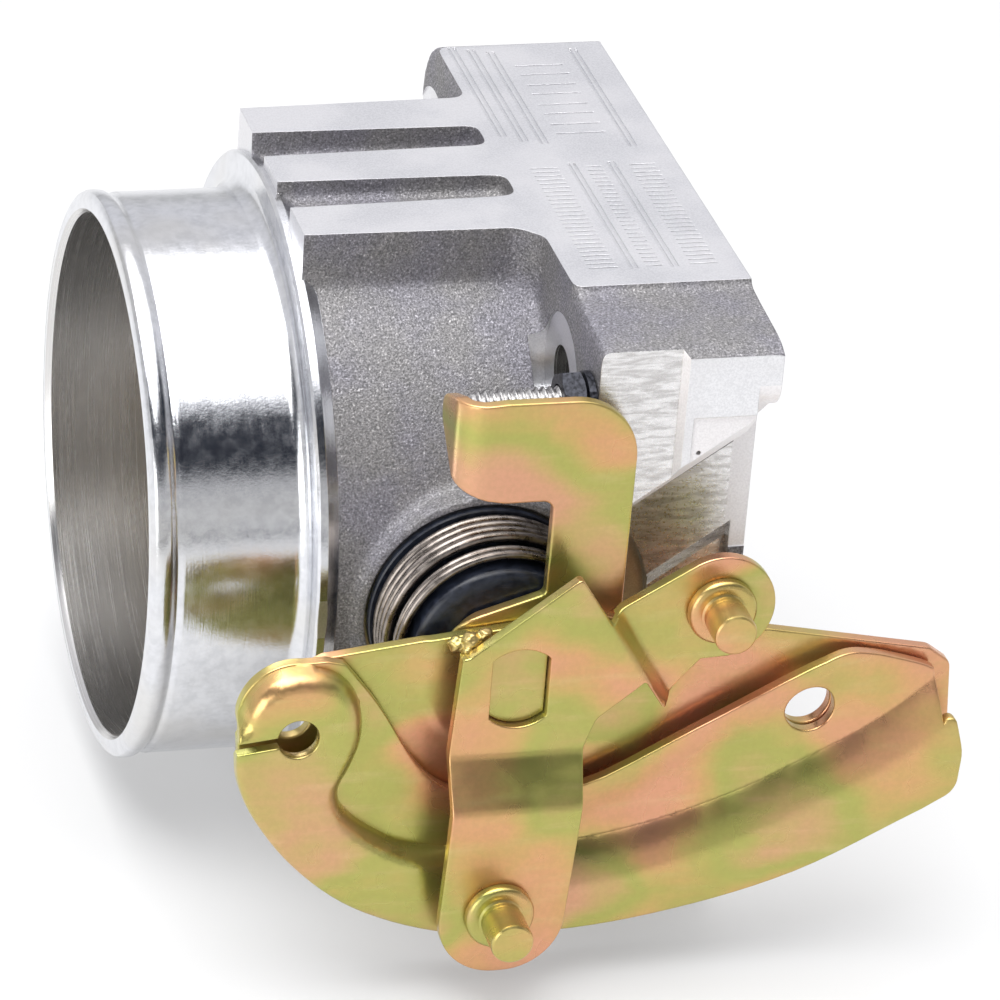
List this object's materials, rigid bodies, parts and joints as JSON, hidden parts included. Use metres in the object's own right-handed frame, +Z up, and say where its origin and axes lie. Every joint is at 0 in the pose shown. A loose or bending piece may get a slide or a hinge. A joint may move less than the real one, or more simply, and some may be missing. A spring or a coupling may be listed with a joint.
{
  "type": "throttle body",
  "caption": "Cable-operated throttle body: round bore with butterfly plate, hose neck, bolted flange, rolled cable quadrant, return springs and idle stop screw.",
  "frame": {"origin": "centre of the outlet bore in the manifold face", "axes": "+X along the bore, out of the manifold face; +Y along the throttle shaft, away from the levers; +Z up"},
  "size_m": [0.1143, 0.1401, 0.097],
  "materials": {
    "cast_aluminium": "as cast, with milled and turned faces",
    "gold_zinc": "yellow chromate over zinc, satin",
    "steel": "bright steel",
    "black_oxide": "black oxide",
    "brass": "rolled sheet",
    "nylon": "smooth moulded",
    "rubber": "matt",
    "bearing_steel": "ground and polished"
  },
  "bodies": {
    "housing": {"throttle_housing": "cast_aluminium", "front_bearing_outer_race": "bearing_steel", "front_bearing_balls": "bearing_steel", "rear_bearing_outer_race": "bearing_steel", "rear_bearing_balls": "bearing_steel", "front_shaft_seal": "rubber", "rear_shaft_seal": "rubber", "spring_bushing": "nylon", "outer_return_spring": "steel", "inner_return_spring": "steel", "stop_screw_washer": "steel", "stop_screw_lock_nut": "black_oxide"},
    "throttle": {"throttle_shaft": "steel", "throttle_plate": "brass", "plate_screw_1": "steel", "plate_screw_2": "steel", "front_bearing_inner_race": "bearing_steel", "rear_bearing_inner_race": "bearing_steel", "shaft_circlip": "black_oxide", "idle_stop_arm": "gold_zinc", "rear_lever_plate": "gold_zinc", "cable_quadrant_cheek": "gold_zinc", "pin_bracket": "gold_zinc", "upper_link_pin": "gold_zinc", "lower_link_pin": "gold_zinc"},
    "stop_screw": {"idle_stop_screw": "steel"}
  },
  "joints": [
    {"name": "throttle_turn", "type": "hinge", "parent": "housing", "child": "throttle", "pos_m": [-0.0374, 0, 0], "axis": [0, -1, 0], "range_deg": [0, 80], "stiffness_Nm_per_rad": 0.12, "springref_deg": -68.75, "deforming": ["outer_return_spring", "inner_return_spring"]},
    {"name": "stop_screw_adjust", "type": "slide", "parent": "housing", "child": "stop_screw", "axis": [1, 0, 0], "range_m": [0, 0.003]}
  ]
}
